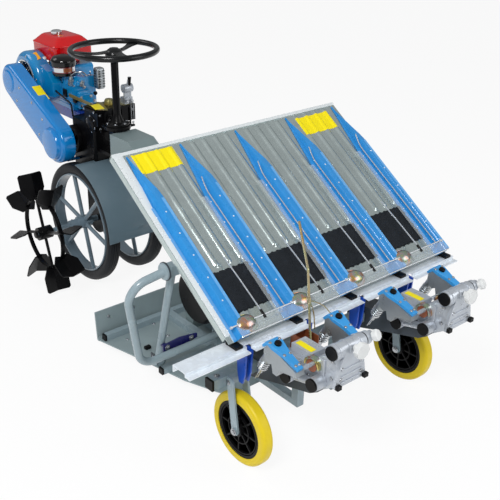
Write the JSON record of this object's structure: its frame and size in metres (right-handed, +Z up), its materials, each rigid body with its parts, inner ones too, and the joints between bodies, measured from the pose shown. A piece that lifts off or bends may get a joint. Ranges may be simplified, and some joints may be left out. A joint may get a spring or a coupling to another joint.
{
  "type": "rice transplanter",
  "caption": "Ride-on rice transplanter: steered power head with road and lugged wheels, main beam, float board, sloping seedling tray and crank-driven planting arms.",
  "frame": {"origin": "on the ground under the middle of the machine's length and width", "axes": "+X forward, +Y to the machine's left, +Z up"},
  "size_m": [2.8783, 1.48, 1.277],
  "materials": {
    "aluminium": "satin",
    "belt_rubber": "matt",
    "black_paint": "satin",
    "black_plastic": "matt",
    "black_rubber": "matt",
    "blue_paint": "gloss",
    "blue_plastic": "satin",
    "copper_paint": "satin",
    "dark_grey_paint": "satin",
    "galvanised": "satin",
    "grey_paint": "satin",
    "navy_paint": "satin",
    "red_paint": "gloss",
    "seat_vinyl": "satin",
    "steel": "satin",
    "teal_paint": "satin",
    "white_plastic": "satin",
    "yellow_rubber": "satin",
    "zinc_gold": "satin"
  },
  "bodies": {
    "frame": {"float_board": "grey_paint", "main_beam": "grey_paint", "frame_tubes": "grey_paint", "end_caps": "black_plastic", "guard_loops": "grey_paint", "lever_links": "navy_paint", "seat_frame": "black_paint", "seat": "seat_vinyl", "drive_case": "black_paint", "rail": "galvanised", "rail_legs": "blue_plastic", "planting_cases": "aluminium", "planting_arms": "dark_grey_paint", "arm_covers": "blue_plastic", "arm_cranks": "steel", "arm_caps": "black_plastic", "planting_needles": "steel", "crank_guards": "zinc_gold", "clutch_bracket": "copper_paint", "clutch_lever": "zinc_gold", "rear_forks": "grey_paint", "steering_head": "black_paint", "case_castings": "dark_grey_paint", "filler_knobs": "white_plastic"},
    "power_head": {"gearbox": "black_paint", "steering_column": "black_paint", "steering_wheel": "black_plastic", "engine_base": "navy_paint", "engine_block": "teal_paint", "fan_cowl": "teal_paint", "fan_screen": "steel", "fuel_tank": "red_paint", "air_cleaner": "black_plastic", "muffler": "steel", "belt_guard": "blue_paint", "clutch_pulley": "black_paint", "lever_bracket": "steel", "fender": "grey_paint"},
    "drive_wheels": {"wheel_rims": "dark_grey_paint", "wheel_tyres": "black_rubber", "paddy_wheel": "black_paint"},
    "rear_wheel_left": {"rear_tyre_left": "yellow_rubber", "rear_core_left": "black_plastic"},
    "rear_wheel_right": {"rear_tyre_right": "yellow_rubber", "rear_core_right": "black_plastic"},
    "tray": {"tray_sheet": "galvanised", "tray_dividers": "blue_plastic", "feed_belts": "belt_rubber", "hold_down_rods": "steel", "guide_plates": "zinc_gold", "slider_blocks": "black_plastic"}
  },
  "joints": [
    {"name": "steering", "type": "hinge", "parent": "frame", "child": "power_head", "pos_m": [0.514, 0, 0.8], "axis": [0, 0, 1], "range_deg": [-40, 40]},
    {"name": "drive_axle", "type": "hinge", "parent": "power_head", "child": "drive_wheels", "pos_m": [0.678, 0, 0.326], "axis": [0, 1, 0], "continuous": true},
    {"name": "rear_wheel_left_spin", "type": "hinge", "parent": "frame", "child": "rear_wheel_left", "pos_m": [-1.036, 0.463, 0.152], "axis": [0, 1, 0], "continuous": true},
    {"name": "rear_wheel_right_spin", "type": "hinge", "parent": "frame", "child": "rear_wheel_right", "pos_m": [-1.036, -0.463, 0.152], "axis": [0, 1, 0], "continuous": true},
    {"name": "tray_shift", "type": "slide", "parent": "frame", "child": "tray", "axis": [0, 1, 0], "range_m": [-0.03, 0.24]}
  ]
}
